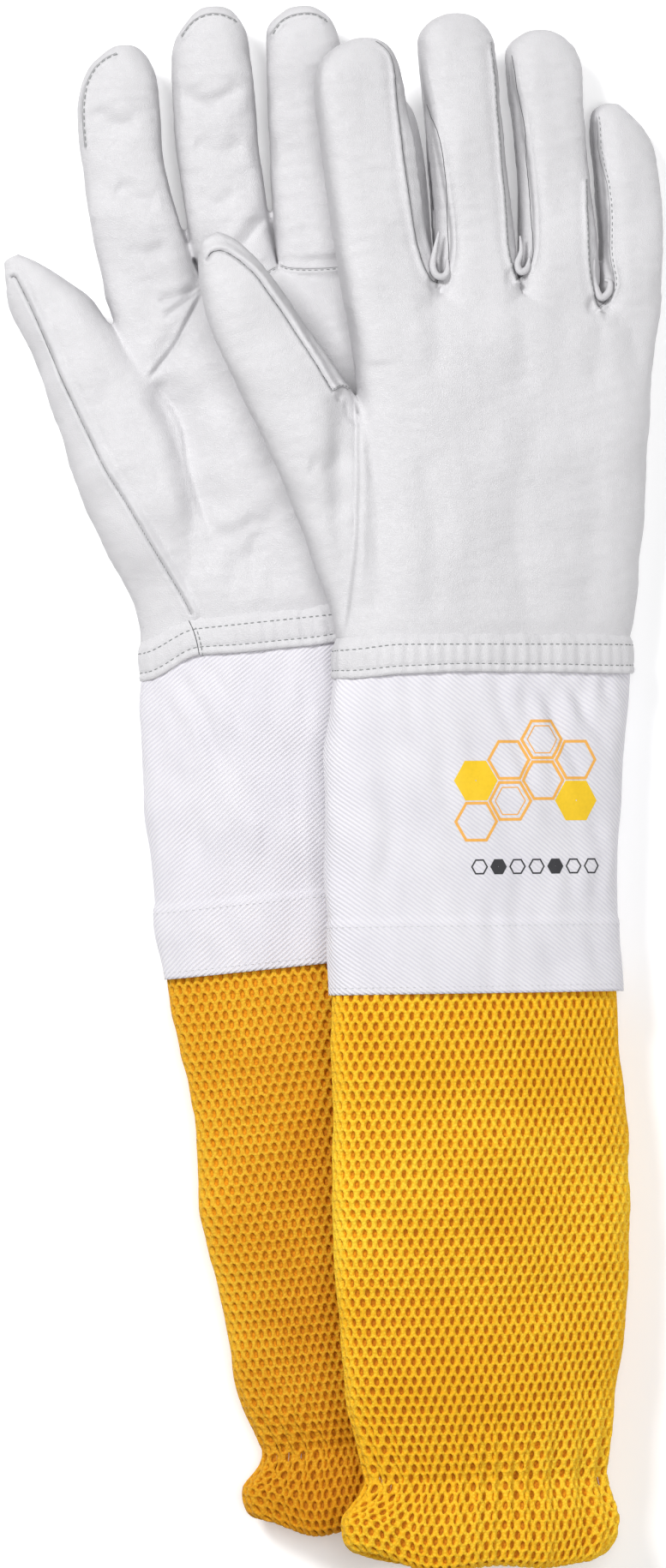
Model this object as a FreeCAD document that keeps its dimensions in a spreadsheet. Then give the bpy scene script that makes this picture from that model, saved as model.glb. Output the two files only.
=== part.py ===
"""A pair of beekeeping gloves, lying flat: the right glove, back up, lies on the left glove, palm up.

Each glove is modelled in its own flat frame, in millimetres. Its origin is the middle of the seam between the
leather hand and the cotton cuff, +Y runs to the fingertips, +X away from the thumb and +Z up off the table.
The left glove is the right glove mirrored in Z, so both have their thumb at -X.
A Placement then lays each glove in the pair: the left one on the table, the right one rolled on top of it.

Every panel is a thin shell. Tubes are lofted from ellipses or slots, hollowed with an inset loft and cut into the
panels that are sewn together: backs, fronts, fourchettes, gussets, hem, cuff, spacer mesh and elastic.
"""
import FreeCAD, Part
import os

import Sketcher
from FreeCAD import Placement, Rotation, Vector

doc = FreeCAD.newDocument("beekeeping_gloves")
dims = doc.addObject("Spreadsheet::Sheet", "dims")

# ---------------------------------------------------------------- driving dimensions, one named cell each
DIMENSIONS = {
    # wall thicknesses and clearances
    "leather": 1.2,
    "twill": 0.8,
    "spacer": 3.0,
    "elastic": 1.0,
    "fit_gap": 0.1,
    "hinge_gap": 0.3,
    "fourchette_half": 4.0,
    "fourchette_reach": 0.8,
    # fingers: middle of the base, half width, half thickness, length, sideways lean of each tip, curl to the palm
    "index_x": -30.3,
    "index_y": 124.5,
    "index_wide": 14.2,
    "index_thick": 9.2,
    "index_long": 79.0,
    "index_lean_right": -9.0,
    "index_lean_left": -4.0,
    "middle_x": -2.3,
    "middle_y": 124.5,
    "middle_wide": 12.8,
    "middle_thick": 9.2,
    "middle_long": 87.5,
    "middle_lean_right": -6.5,
    "middle_lean_left": -3.0,
    "ring_x": 24.1,
    "ring_y": 124.5,
    "ring_wide": 12.7,
    "ring_thick": 9.0,
    "ring_long": 83.0,
    "ring_lean_right": -5.5,
    "ring_lean_left": 1.0,
    "little_x": 48.0,
    "little_y": 119.0,
    "little_wide": 10.2,
    "little_thick": 8.2,
    "little_long": 66.0,
    "little_lean_right": -4.5,
    "little_lean_left": 3.5,
    "finger_curl": 3.0,
    # thumb: middle of its base, half width, half thickness, length, angle from +Y, drop to the palm side
    "thumb_x_right": -63.5,
    "thumb_x_left": -57.0,
    "thumb_y": 82.0,
    "thumb_wide": 13.4,
    "thumb_thick": 9.0,
    "thumb_long": 55.0,
    "thumb_angle_right": 27.0,
    "thumb_angle_left": 22.0,
    "thumb_drop": 3.0,
    # the rings round the glove: hem of the leather, band that joins cuff and mesh
    "hem_long": 7.5,
    "hem_lip": 1.6,
    "hem_wide": 50.0,
    "hem_thick": 11.0,
    "cuff_long": 104.0,
    "band_long": 22.5,
    "band_wide": 49.4,
    "band_thick": 10.8,
    # spacer mesh sleeve and its gathered end
    "gather_y": -261.0,
    "elastic_long": 8.0,
    "sleeve_end": -288.0,
    # how the gloves lie: middle of the hem seam in the pair, turns about Z, Y and X
    "left_glove_x": -9.55,
    "left_glove_y": 43.3,
    "left_glove_z": 12.5,
    "left_turn": 6.0,
    "right_glove_x": 52.25,
    "right_glove_y": 34.5,
    "right_glove_z": 32.4,
    "right_turn": 0.4,
    "right_roll": 16.0,
    "right_pitch": -1.5,
}
# Stations along the glove: name, then Y, middle X, half width and half thickness.
HAND = (
    ("hand_a", 0.0, 0.0, 50.0, 10.8),
    ("hand_b", 9.0, 0.4, 49.2, 11.2),
    ("hand_c", 26.0, 5.4, 47.4, 11.8),
    ("hand_d", 54.0, 7.3, 47.6, 11.8),
    ("hand_e", 88.0, 8.8, 49.4, 11.4),
    ("hand_f", 112.0, 7.4, 51.2, 10.8),
    ("hand_g", 124.2, 6.6, 52.0, 10.2),
)
CUFF = (
    ("cuff_a", -2.2, -0.4, 49.4, 10.8),
    ("cuff_b", -30.0, -2.6, 51.0, 11.6),
    ("cuff_c", -62.0, -3.0, 49.8, 11.4),
    ("cuff_d", -81.4, -3.0, 49.4, 10.8),
)
SLEEVE = (
    ("sleeve_a", -104.2, -2.8, 48.4, 10.8),
    ("sleeve_b", -150.0, -2.4, 50.2, 11.9),
    ("sleeve_c", -192.0, -2.6, 50.6, 12.1),
    ("sleeve_d", -226.0, -3.0, 47.4, 11.6),
    ("sleeve_e", -248.0, -2.4, 43.8, 10.8),
    ("sleeve_f", -261.0, -2.0, 41.6, 10.0),
)
FRILL = (
    ("frill_a", -261.2, -2.0, 41.6, 10.0),
    ("frill_b", -267.0, -2.6, 43.6, 10.8),
    ("frill_c", -276.0, -3.6, 47.4, 11.8),
    ("frill_d", -283.0, -3.6, 46.6, 11.0),
    ("frill_e", -288.0, -3.4, 42.6, 9.2),
)
# The thenar lobe, from the thumb's base down into the palm: distance back along the thumb, shift, half width.
THENAR = (
    ("thenar_a", 0.0, 2.8, 16.6),
    ("thenar_b", 24.0, 0.4, 16.2),
    ("thenar_c", 48.0, -2.6, 16.4),
    ("thenar_d", 72.0, -7.2, 15.2),
)
# Finger profile: share of the length, of the half width and of the half thickness.
FINGER_PROFILE = (
    (0.0, 1.0, 1.0),
    (0.35, 0.99, 0.96),
    (0.68, 0.96, 0.92),
    (0.85, 0.88, 0.84),
    (0.95, 0.66, 0.66),
    (1.0, 0.26, 0.30),
)
FINGERS = ("index", "middle", "ring", "little")
# Which sides of a finger carry a fourchette, and which neighbour it faces.
FOURCHETTES = {
    "index": {1: "middle"},
    "middle": {-1: "index", 1: "ring"},
    "ring": {-1: "middle", 1: "little"},
    "little": {-1: "ring"},
}
FAR = 400.0  # longer than a glove is, for the boxes that cut it

rows = dict(DIMENSIONS)
for name, y, x, wide, thick in HAND + CUFF + SLEEVE + FRILL:
    rows.update({f"{name}_y": y, f"{name}_x": x, f"{name}_wide": wide, f"{name}_thick": thick})
for name, back, shift, wide in THENAR:
    rows.update({f"{name}_back": back, f"{name}_shift": shift, f"{name}_wide": wide})
for line, (alias, value) in enumerate(rows.items(), start=1):
    dims.set(f"A{line}", alias)
    dims.set(f"B{line}", str(value))
    dims.setAlias(f"B{line}", alias)
doc.recompute()


def size(alias):
    """A driving dimension's value, read back from the sheet."""
    return float(getattr(dims, alias))


# ---------------------------------------------------------------- small builders
ACROSS = Rotation(Vector(1, 0, 0), 90)  # stands a flat section up, across the glove


def bind(thing, **expressions):
    """Binds properties to expressions over the sheet: a double underscore stands for a dot."""
    for prop, expression in expressions.items():
        thing.setExpression(prop.replace("__", "."), expression)
    return thing


def ellipse(name, x, y, z, wide, thick, turn=0.0):
    """An upright ellipse across the glove. Its place and radii are expressions."""
    thing = doc.addObject("Part::Ellipse", name)
    thing.Placement = Placement(Vector(), Rotation(Vector(0, 0, 1), turn) * ACROSS)
    return bind(thing, Placement__Base__x=x, Placement__Base__y=y, Placement__Base__z=z,
                MajorRadius=wide, MinorRadius=thick)


def slot(name, x, y, wide, thick):
    """An upright slot across the glove: two straight lines and two half circles, as wide and thick as told."""
    sketch = doc.addObject("Sketcher::SketchObject", name)
    up, side = Vector(0, 0, 1), 30.0
    radius = 10.0
    sketch.addGeometry([
        Part.LineSegment(Vector(-side, radius, 0), Vector(side, radius, 0)),
        Part.ArcOfCircle(Part.Circle(Vector(side, 0, 0), up, radius), -1.5707963, 1.5707963),
        Part.LineSegment(Vector(side, -radius, 0), Vector(-side, -radius, 0)),
        Part.ArcOfCircle(Part.Circle(Vector(-side, 0, 0), up, radius), 1.5707963, 4.7123890),
    ], False)
    top, right, bottom, left = range(4)
    start, end, centre, x_axis, origin = 1, 2, 3, -1, (-1, 1)
    sketch.addConstraint([
        Sketcher.Constraint("Tangent", top, end, right, end),
        Sketcher.Constraint("Tangent", right, start, bottom, start),
        Sketcher.Constraint("Tangent", bottom, end, left, end),
        Sketcher.Constraint("Tangent", left, start, top, start),
        Sketcher.Constraint("Horizontal", top),
        Sketcher.Constraint("PointOnObject", right, centre, x_axis),
        Sketcher.Constraint("Symmetric", left, centre, right, centre, *origin),
        Sketcher.Constraint("Radius", right, radius),
        Sketcher.Constraint("DistanceX", left, centre, right, centre, 2 * side),
    ])
    sketch.renameConstraint(7, "thick")
    sketch.renameConstraint(8, "span")
    sketch.Placement = Placement(Vector(), ACROSS)
    bind(sketch, Placement__Base__x=x, Placement__Base__y=y)
    sketch.setExpression("Constraints.thick", thick)
    sketch.setExpression("Constraints.span", f"2 * ({wide} - ({thick}))")
    return sketch


def loft(name, sections, ruled=False):
    thing = doc.addObject("Part::Loft", name)
    thing.Sections = sections
    thing.Solid, thing.Ruled = True, ruled
    return thing


def box(name, low, high, turn=0.0, about=(0, 0, 0)):
    """A cutting box between two corners, turned about Z at a point."""
    thing = doc.addObject("Part::Box", name)
    thing.Length, thing.Width, thing.Height = (b - a for a, b in zip(low, high))
    spin = Placement(Vector(*about), Rotation(Vector(0, 0, 1), turn))
    thing.Placement = spin.multiply(Placement(Vector(*low), Rotation()))
    return thing


def cut(name, base, tool):
    thing = doc.addObject("Part::Cut", name)
    thing.Base, thing.Tool = base, tool
    return thing


def common(name, base, tool):
    thing = doc.addObject("Part::Common", name)
    thing.Base, thing.Tool = base, tool
    return thing


def fuse(name, shapes):
    thing = doc.addObject("Part::MultiFuse", name)
    thing.Shapes = shapes
    return thing


def half(name, base, sign):
    """The part of a shell above (sign 1) or below (sign -1) the glove's middle plane."""
    low, high = (0, FAR) if sign > 0 else (-FAR, 0)
    return common(name, base, box(f"{name}_side", (-FAR, -FAR, low), (FAR, FAR, high)))


def slot_stations(prefix, stations, inset, first_y=None, last_y=None):
    """Slot sketches at the named stations, inset by an expression. The end ones can be moved along Y."""
    made = []
    for place, (name, *_) in enumerate(stations):
        y = f"dims.{name}_y"
        if place == 0 and first_y:
            y += first_y
        if place == len(stations) - 1 and last_y:
            y += last_y
        made.append(slot(f"{prefix}_{name}", f"dims.{name}_x", y,
                         f"dims.{name}_wide - {inset}", f"dims.{name}_thick - {inset}"))
    return made


def tube(name, stations, wall):
    """A hollow tube through slot stations, open at both ends."""
    direction = 1 if stations[-1][1] > stations[0][1] else -1
    before, after = ("- 1", "+ 1") if direction > 0 else ("+ 1", "- 1")
    outer = loft(f"{name}_outer", slot_stations(f"{name}_out", stations, "0"))
    inner = loft(f"{name}_inner", slot_stations(f"{name}_in", stations, wall, before, after))
    return cut(f"{name}_tube", outer, inner), inner


def ring(name, x, y, long, wide, thick, wall):
    """A hollow ring of constant section, extruded along Y from y by long."""
    bands = []
    for layer, inset in (("outer", "0"), ("inner", wall)):
        section = slot(f"{name}_{layer}_section", x, y, f"{wide} - {inset}", f"{thick} - {inset}")
        band = doc.addObject("Part::Extrusion", f"{name}_{layer}")
        band.Base, band.Solid = section, True
        band.DirMode, band.Dir = "Custom", Vector(0, 1, 0)
        bind(band, LengthFwd=long)
        bands.append(band)
    return cut(f"{name}_ring", *bands)


# ---------------------------------------------------------------- one glove
def finger(glove, key, palm):
    """The panels of one finger: back, front and a fourchette on each side that has a neighbour."""
    name = f"{glove}_{key}"
    lean = f"dims.{key}_lean_{glove}"

    def skin(layer, inset, start, shorter):
        made = []
        for place, (along, wide, thick) in enumerate(FINGER_PROFILE):
            y = f"dims.{key}_y + {start if place == 0 else 0} + (dims.{key}_long - {shorter}) * {along}"
            made.append(ellipse(
                f"{name}_{layer}_{place}", f"dims.{key}_x + {lean} * {along}", y,
                f"{palm} * dims.finger_curl * {along * along}",
                f"dims.{key}_wide * {wide} - {inset}", f"dims.{key}_thick * {thick} - {inset}"))
        return loft(f"{name}_{layer}", made)

    shell = cut(f"{name}_shell", skin("outer", "0", 0, "0"), skin("inner", "dims.leather", -1, "dims.leather"))
    base_y, long = size(f"{key}_y"), size(f"{key}_long")
    middle_x = size(f"{key}_x") + size(f"{key}_lean_{glove}") / 2
    high, reach = size("fourchette_half"), long * size("fourchette_reach")
    panels, strips = {}, []
    for side, neighbour in FOURCHETTES[key].items():
        near, far = (middle_x, FAR) if side > 0 else (-FAR, middle_x)
        keep = box(f"{name}_{neighbour}_keep", (near, base_y - 1, -high), (far, base_y + reach, high))
        strips.append(keep)
        panels[f"{key}_fourchette_to_{neighbour}"] = common(f"{name}_{neighbour}_strip", shell, keep)
    panel_skin = cut(f"{name}_without_strips", shell, fuse(f"{name}_strips", strips) if len(strips) > 1 else strips[0])
    panels[f"{key}_back"] = half(f"{name}_back", panel_skin, -palm)
    panels[f"{key}_front"] = half(f"{name}_front", panel_skin, palm)
    return panels


def thumb_section(glove, name, back, shift, wide, thick, palm):
    """An ellipse across the thumb's own line, a distance back from its base and shifted across it."""
    angle = f"dims.thumb_angle_{glove}"
    x = f"dims.thumb_x_{glove} + ({back}) * sin({angle} * 1 deg) + ({shift}) * cos({angle} * 1 deg)"
    y = f"dims.thumb_y - ({back}) * cos({angle} * 1 deg) + ({shift}) * sin({angle} * 1 deg)"
    return ellipse(name, x, y, f"{palm} * dims.thumb_drop", wide, thick, size(f"thumb_angle_{glove}"))


def thumb(glove, palm):
    """The thumb's back and front."""
    name = f"{glove}_thumb"

    def skin(layer, inset, start, shorter):
        made = []
        for place, (along, wide, thick) in enumerate(FINGER_PROFILE):
            back = f"{start if place == 0 else 0} - (dims.thumb_long - {shorter}) * {along} - dims.hinge_gap"
            made.append(thumb_section(
                glove, f"{name}_{layer}_{place}", back, "0", f"dims.thumb_wide * {wide} - {inset}",
                f"dims.thumb_thick * {thick} - {inset}", palm))
        return loft(f"{name}_{layer}", made)

    shell = cut(f"{name}_shell", skin("outer", "0", 0, "0"), skin("inner", "dims.leather", 1, "dims.leather"))
    return {"thumb_back": half(f"{name}_back", shell, -palm), "thumb_front": half(f"{name}_front", shell, palm)}


def hand(glove, palm):
    """Back and palm of the hand with its thenar lobe, the thumb's gusset and the webs between the fingers."""
    name = f"{glove}_hand"
    lobes = {}
    for layer, inset in (("outer", "0"), ("inner", "dims.leather")):
        made = []
        for place, (station, *_) in enumerate(THENAR):
            beyond = " - 1" if layer == "inner" and place == 0 else ""
            made.append(thumb_section(
                glove, f"{name}_{station}_{layer}", f"dims.{station}_back{beyond}", f"dims.{station}_shift",
                f"dims.{station}_wide - {inset}", f"dims.thumb_thick + 0.6 - {inset}", palm))
        lobes[layer] = loft(f"{name}_lobe_{layer}", made)
    main = loft(f"{name}_main_outer", slot_stations(f"{name}_out", HAND, "0"))
    hollow = loft(f"{name}_main_inner", slot_stations(f"{name}_in", HAND, "dims.leather", "- 1", "+ 1"))
    outside = fuse(f"{name}_outside", [main, lobes["outer"]])
    inside = fuse(f"{name}_inside", [hollow, lobes["inner"]])
    shell = cut(f"{name}_shell", outside, inside)
    # The lobe stops at the hem, and the hand ends lower at the little finger than at the other three.
    little_x = size("little_x") - size("little_wide") - 0.6
    little_y = size("little_y") - size("hinge_gap")
    below = box(f"{name}_below", (-FAR, -FAR, -FAR), (FAR, size("hem_long") + 0.4, FAR))
    step = box(f"{name}_step", (little_x, little_y, -FAR), (FAR, FAR, FAR))
    lower = common(f"{name}_lower", cut(f"{name}_main_shell", main, hollow), below)
    upper = cut(f"{name}_upper", shell, fuse(f"{name}_trims", [below, step]))
    whole = fuse(f"{name}_whole", [lower, upper])

    end_y = size("hand_g_y")
    web, deep = 3.2, 1.3
    crotches = [
        ((size(a + "_x") + size(a + "_wide") + size(b + "_x") - size(b + "_wide")) / 2, end_y)
        for a, b in (("index", "middle"), ("middle", "ring"))
    ]
    blocks = [
        box(f"{name}_web_{place}", (x - web, y - deep, -FAR), (x + web, y, FAR))
        for place, (x, y) in enumerate(crotches)
    ]
    blocks.append(box(f"{name}_web_2", (little_x - deep, little_y - web, -FAR), (little_x, end_y, FAR)))
    clear = loft(f"{name}_web_room", slot_stations(f"{name}_web", HAND, "dims.leather - dims.fit_gap", "- 1", "+ 1"))

    ledge, angle = size("thumb_wide"), size(f"thumb_angle_{glove}")
    about = (size(f"thumb_x_{glove}"), size("thumb_y"), 0)
    gusset_room = box(f"{name}_gusset_room", (ledge - 0.6, -deep - 0.2, -FAR), (FAR, -0.2, FAR), angle, about)
    lobe_room = cut(f"{name}_lobe_room", lobes["inner"], main)
    panels = {
        "hand_back": half(f"{name}_back", whole, -palm),
        "hand_palm": half(f"{name}_palm", whole, palm),
        "thumb_gusset": common(f"{name}_gusset", lobe_room, gusset_room),
    }
    for neighbours, block in zip(("index_middle", "middle_ring", "ring_little"), blocks):
        panels[f"web_{neighbours}"] = common(f"{name}_web_{neighbours}_piece", clear, block)
    return panels


def rings_and_sleeve(glove):
    """Leather hem, cotton cuff, joining band, spacer mesh sleeve, its turned end and the elastic inside."""
    name = f"{glove}_sleeve"
    cuff, _ = tube(f"{name}_cuff", CUFF, "dims.twill")
    mesh, _ = tube(f"{name}_mesh", SLEEVE, "dims.spacer")
    frill, _ = tube(f"{name}_frill", FRILL, "dims.spacer")
    proud = "dims.leather + dims.fit_gap"
    return {
        "leather_hem": ring(f"{name}_hem", "dims.hand_a_x", "0 - dims.hem_lip", "dims.hem_long + dims.hem_lip",
                            f"dims.hem_wide + {proud}", f"dims.hem_thick + {proud} + 0.2", "dims.leather"),
        "twill_cuff": cuff,
        "twill_join_band": ring(f"{name}_band", "dims.cuff_d_x", "0 - dims.cuff_long",
                                "dims.band_long", "dims.band_wide + 1.5", "dims.band_thick + 1.5", "2 * dims.twill"),
        "mesh_sleeve": mesh,
        "mesh_turned_end": frill,
        "elastic_band": ring(f"{name}_elastic", "dims.sleeve_f_x", "dims.gather_y + 1", "dims.elastic_long",
                             "dims.sleeve_f_wide - dims.spacer - 0.6", "dims.sleeve_f_thick - dims.spacer - 0.6",
                             "dims.elastic"),
    }


def lay(glove):
    """Where a glove lies in the pair."""
    at = Vector(size(f"{glove}_glove_x"), size(f"{glove}_glove_y"), size(f"{glove}_glove_z"))
    turn = Rotation(Vector(0, 0, 1), size(f"{glove}_turn"))
    if glove == "right":
        roll = Rotation(Vector(0, 1, 0), size("right_roll"))
        pitch = Rotation(Vector(1, 0, 0), size("right_pitch"))
        turn = turn * roll * pitch
    return Placement(at, turn)


nodes = {}
for glove, palm in (("right", -1), ("left", 1)):
    panels = {}
    for key in FINGERS:
        panels.update(finger(glove, key, palm))
    panels.update(thumb(glove, palm))
    panels.update(hand(glove, palm))
    panels.update(rings_and_sleeve(glove))
    for panel, thing in panels.items():
        nodes[f"{glove}_{panel}"] = thing
        thing.Label = f"{glove}_{panel}"
        thing.Placement = lay(glove)

# ---------------------------------------------------------------- compute, check and write
doc.recompute()
for thing in doc.Objects:
    if "Invalid" in thing.State or "Error" in thing.State:
        raise RuntimeError(f"{thing.Label} failed: {thing.State}")
for name, thing in nodes.items():
    if thing.Shape.isNull() or not thing.Shape.isValid() or not thing.Shape.Solids:
        raise RuntimeError(f"{name} has no valid solid")

os.makedirs("parts", exist_ok=True)
for name, thing in nodes.items():
    thing.Shape.exportStep(os.path.join("parts", f"{name}.step"))
    if len(thing.Shape.Solids) > 1:
        print(f"{name}: {[round(solid.Volume, 1) for solid in thing.Shape.Solids]} mm3")
print(f"{len(nodes)} parts written")
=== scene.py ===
"""The looks of a pair of beekeeping gloves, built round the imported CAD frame.

Each glove is made in its own flat frame, in millimetres: +Y to the fingertips, +X away from the thumb
and +Z out of the back of the hand. A placement per glove, the one the CAD uses, then lays it in the pair
in metres. The leather is one closed skin per glove, remeshed from lofted tubes, creased along its seams,
and then split where the fingers and the thumb join the hand. The sleeve is a real net of holes over a
backing layer.
"""
import math

import bmesh
import bpy
import numpy as np
from mathutils import Matrix, Vector
from mathutils.bvhtree import BVHTree


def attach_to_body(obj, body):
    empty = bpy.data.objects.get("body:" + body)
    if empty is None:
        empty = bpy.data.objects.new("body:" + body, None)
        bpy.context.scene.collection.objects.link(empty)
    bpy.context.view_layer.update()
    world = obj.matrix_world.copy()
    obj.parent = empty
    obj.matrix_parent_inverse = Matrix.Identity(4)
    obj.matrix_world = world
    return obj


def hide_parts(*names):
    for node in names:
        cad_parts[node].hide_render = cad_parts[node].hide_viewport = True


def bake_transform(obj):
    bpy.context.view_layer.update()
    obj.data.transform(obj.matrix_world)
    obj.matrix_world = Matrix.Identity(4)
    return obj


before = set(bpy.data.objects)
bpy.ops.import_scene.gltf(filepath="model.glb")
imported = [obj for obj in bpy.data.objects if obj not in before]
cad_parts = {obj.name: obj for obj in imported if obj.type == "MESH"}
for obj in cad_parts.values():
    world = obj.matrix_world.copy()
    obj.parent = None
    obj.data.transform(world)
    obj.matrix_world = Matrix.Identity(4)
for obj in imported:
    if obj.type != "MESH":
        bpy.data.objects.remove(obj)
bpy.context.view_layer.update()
MM = 0.001

# -------------------- where each glove lies, as in the CAD
PLACES = {
    "right": {"at": (52.25, 34.5, 32.4), "turn": 0.4, "roll": 16.0, "pitch": -1.5, "up": 1},
    "left": {"at": (-9.55, 43.3, 12.5), "turn": 6.0, "roll": 0.0, "pitch": 0.0, "up": -1},
}
FINGERS = ("index", "middle", "ring", "little")


def placement(glove):
    p = PLACES[glove]
    turn = Matrix.Rotation(math.radians(p["turn"]), 4, "Z")
    roll = Matrix.Rotation(math.radians(p["roll"]), 4, "Y")
    pitch = Matrix.Rotation(math.radians(p["pitch"]), 4, "X")
    flip = Matrix.Diagonal((1, 1, p["up"], 1))
    return Matrix.Scale(MM, 4) @ Matrix.Translation(p["at"]) @ turn @ roll @ pitch @ flip


LAY = {glove: placement(glove) for glove in PLACES}


# -------------------- numbers
def ripple(points, seed, wavelength, waves=14, stretch=(1, 1, 1)):
    """Smooth random hills, about -1 to 1, made of cosines in random directions."""
    rng = np.random.default_rng(seed)
    p = np.asarray(points, float) * np.array(stretch)
    total = np.zeros(len(p))
    for _ in range(waves):
        direction = rng.normal(size=3)
        direction *= 2 * math.pi / (wavelength * rng.uniform(0.7, 1.5) * np.linalg.norm(direction))
        total += np.cos(p @ direction + rng.uniform(0, 2 * math.pi))
    return total / math.sqrt(waves / 2) * 0.7


def smooth(x, low, high):
    t = np.clip((np.asarray(x, float) - low) / (high - low), 0, 1)
    return t * t * (3 - 2 * t)


def bell(x, middle, width):
    return np.exp(-((x - middle) / width) ** 2)


def unit(rows):
    """Rows of numbers, each made one long."""
    return rows / (np.linalg.norm(rows, axis=-1, keepdims=True) + 1e-9)


def run_along(points):
    """How far along a line each of its points is."""
    return np.concatenate([[0], np.cumsum(np.linalg.norm(np.diff(points, axis=0), axis=1))])


def catmull(rows, steps):
    """A smooth curve through rows of numbers, with steps points between each two."""
    rows = np.asarray(rows, float)
    padded = np.vstack([2 * rows[0] - rows[1], rows, 2 * rows[-1] - rows[-2]])
    out = []
    for i in range(len(rows) - 1):
        a, b, c, d = padded[i:i + 4]
        for t in np.arange(steps) / steps:
            out.append(0.5 * (2 * b + (c - a) * t + (2 * a - 5 * b + 4 * c - d) * t * t
                              + (3 * b - a - 3 * c + d) * t ** 3))
    out.append(rows[-1])
    return np.array(out)


def resample(points, step):
    """Points about step apart along a line."""
    points = np.asarray(points, float)
    run = run_along(points)
    at = np.linspace(0, run[-1], max(2, int(round(run[-1] / step)) + 1))
    return np.column_stack([np.interp(at, run, column) for column in points.T])


def to_line(xy, line):
    """The distance to a line in plan, positive on its right as it runs, and the share along it."""
    signed, along = np.full(len(xy), 1e9), np.zeros(len(xy))
    run = run_along(line)
    for i, (a, b) in enumerate(zip(line, line[1:])):
        d = b - a
        length = np.linalg.norm(d)
        if length < 1e-6:
            continue
        rel = xy - a
        t = np.clip(rel @ d / length ** 2, 0, 1)
        gap = np.linalg.norm(rel - t[:, None] * d, axis=1)
        near = gap < np.abs(signed)
        signed[near] = np.copysign(gap, rel[:, 0] * d[1] - rel[:, 1] * d[0])[near]
        along[near] = ((run[i] + t * length) / run[-1])[near]
    return signed, along


# -------------------- meshes
LOCAL = {}  # each piece's points and faces before its glove is laid in the pair
FLOOR_SOFT = 0.0022  # below this height, in metres, a surface settles towards the floor
EDGE_SAG = 0.0046, 0.045, 0.100  # how far the upper glove's outer edge sags, and where it starts and ends


def make(name, points, faces, glove=None):
    """A mesh object from points in a glove's frame, put where the glove lies."""
    mesh = bpy.data.meshes.new(name)
    points = np.asarray(points, float)
    if glove:
        LOCAL[name] = points, faces
        m = np.array(LAY[glove])
        points = points @ m[:3, :3].T + m[:3, 3]
        if glove == "right":
            points[:, 2] -= EDGE_SAG[0] * smooth(points[:, 0], *EDGE_SAG[1:])
        low = points[:, 2] < FLOOR_SOFT
        points[low, 2] = FLOOR_SOFT * np.exp(points[low, 2] / FLOOR_SOFT - 1)
        if PLACES[glove]["up"] < 0:
            faces = [tuple(reversed(f)) for f in faces]
    mesh.from_pydata([tuple(p) for p in points], [], [tuple(int(i) for i in f) for f in faces])
    mesh.validate()
    mesh.update()
    mesh.shade_smooth()
    thing = bpy.data.objects.new(name, mesh)
    bpy.context.scene.collection.objects.link(thing)
    return thing


def paint(thing, name, values):
    """Stores one number per vertex, for the material to read."""
    layer = thing.data.attributes.new(name, "FLOAT", "POINT")
    layer.data.foreach_set("value", np.asarray(values, np.float32))


def grid_faces(rows, columns, start=0):
    """The faces between rows of points, each row closed on itself."""
    faces = []
    for r in range(start, start + (rows - 1) * columns, columns):
        for c in range(columns):
            d = (c + 1) % columns
            faces.append((r + c, r + d, r + columns + d, r + columns + c))
    return faces


def add_part(points, faces, part):
    """Adds one part's points and faces to lists of them."""
    start = len(points)
    points.extend(part[0])
    faces.extend(tuple(i + start for i in f) for f in part[1])


def loft(rings):
    """Points and faces of a closed tube through rings that each have the same number of points."""
    rings = np.asarray(rings)
    rows, columns, _ = rings.shape
    points = list(rings.reshape(-1, 3))
    faces = grid_faces(rows, columns)
    for row, turn in ((0, 1), (rows - 1, -1)):
        points.append(rings[row].mean(0))
        hub = len(points) - 1
        for c in range(columns):
            d = (c + 1) % columns
            pair = (row * columns + c, row * columns + d)
            faces.append((hub, *pair[::-1]) if turn > 0 else (hub, *pair))
    across, along = rings[0, 1] - rings[0, 0], rings[1, 0] - rings[0, 0]
    if np.cross(across, along) @ (rings[0, 0] - rings[0].mean(0)) < 0:
        faces = [tuple(reversed(f)) for f in faces]
    return points, faces


def ring_points(wide, thick, power, count):
    """One superellipse, its points evenly spread round it."""
    fine = np.linspace(0, 2 * math.pi, 721)
    c, s = np.cos(fine), np.sin(fine)
    x = wide * np.sign(c) * np.abs(c) ** (2 / power)
    z = thick * np.sign(s) * np.abs(s) ** (2 / power)
    run = run_along(np.column_stack([x, z]))
    at = np.arange(count) / count * run[-1]
    return np.interp(at, run, x), np.interp(at, run, z)


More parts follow.
